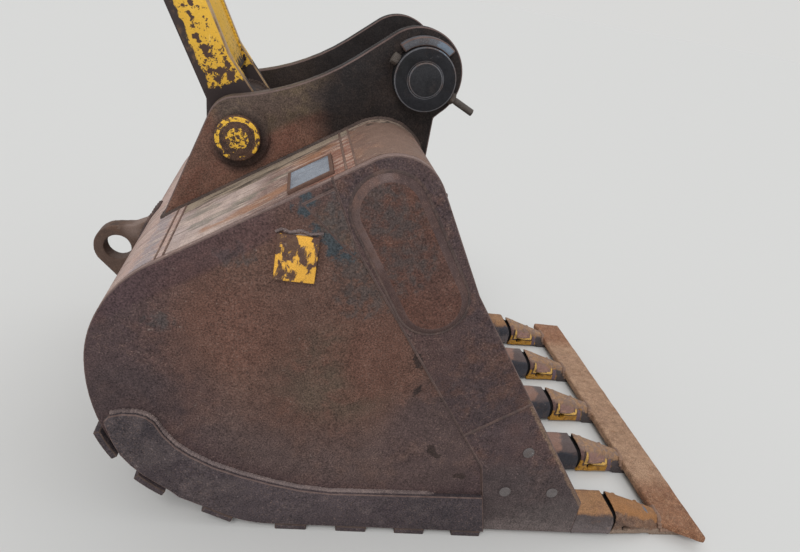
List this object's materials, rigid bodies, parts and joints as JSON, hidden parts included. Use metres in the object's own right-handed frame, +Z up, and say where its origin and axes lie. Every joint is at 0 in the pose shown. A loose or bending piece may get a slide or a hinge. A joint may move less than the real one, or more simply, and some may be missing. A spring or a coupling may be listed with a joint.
{
  "type": "excavator bucket with bucket link",
  "caption": "Heavy-duty digging bucket with curved shell, flared sides, ears and pins, welded adapters with tooth tips, a bar across the tips, and the bucket link hinged on its rear pin.",
  "frame": {"origin": "on the ground, under the middle of the part's box at rest", "axes": "+X is the digging direction (the teeth's end), +Y is to the left seen from behind, +Z is up"},
  "size_m": [1.744, 1.1876, 1.5184],
  "materials": {
    "side_plate": "dull, rusted, scraped paint",
    "top_sheet": "bare rusty steel, scraped",
    "heel_sheet": "bare rusty steel, scraped",
    "inside": "bare rusty steel, worn by digging",
    "cheek": "dull, rusted",
    "wear_plate": "dull, rusted, edges worn bare",
    "ear": "greasy and rusted",
    "greasy": "black with grease",
    "pin": "worn steel with leftover paint",
    "stick_pin": "worn steel with grease",
    "adapter": "dark cast steel with a rust bloom",
    "tip_rusty": "rusty cast steel",
    "tip_yellow": "worn yellow paint over rust",
    "edge_bar": "rusty steel bar",
    "plug": "light grey discs",
    "plate": "blank grey plate",
    "badge": "flaking yellow paint, blank",
    "bolt": "worn steel",
    "link": "chipped yellow paint",
    "link_boss": "greasy and rusted"
  },
  "bodies": {
    "bucket": {"top_sheet": "top_sheet", "heel_sheet": "heel_sheet", "floor_plate": "inside", "torque_tube": "top_sheet", "cutting_edge": "inside", "heel_strips": "wear_plate", "floor_strips": "wear_plate", "lifting_eye": "ear", "rating_plate": "plate", "badge_pad": "badge", "edge_bar": "edge_bar", "stick_pin": "stick_pin", "link_pin": "pin", "retaining_bolt": "bolt", "collar_guard": "greasy", "side_plate_near": "side_plate", "cheek_upper_near": "cheek", "cheek_lower_near": "cheek", "wear_pad_near": "wear_plate", "side_shroud_near": "wear_plate", "corner_plugs_near": "plug", "ear_near": "ear", "ear_pad_near": "ear", "stick_collar_near": "greasy", "side_plate_far": "side_plate", "cheek_upper_far": "cheek", "cheek_lower_far": "cheek", "wear_pad_far": "wear_plate", "side_shroud_far": "wear_plate", "corner_plugs_far": "plug", "ear_far": "ear", "ear_pad_far": "ear", "stick_collar_far": "greasy", "adapter_1": "adapter", "tip_1": "tip_rusty", "adapter_2": "adapter", "tip_2": "tip_yellow", "adapter_3": "adapter", "tip_3": "tip_yellow", "adapter_4": "adapter", "tip_4": "tip_yellow", "adapter_5": "adapter", "tip_5": "tip_yellow"},
    "link": {"link_leg_near": "link", "link_leg_far": "link", "link_plate": "link", "link_low_boss": "link_boss", "link_top_bosses": "link"}
  },
  "joints": [
    {"name": "link_hinge", "type": "hinge", "parent": "bucket", "child": "link", "pos_m": [-0.493, 0, 0.89], "axis": [0, 1, 0], "range_deg": [-48, 62]}
  ]
}
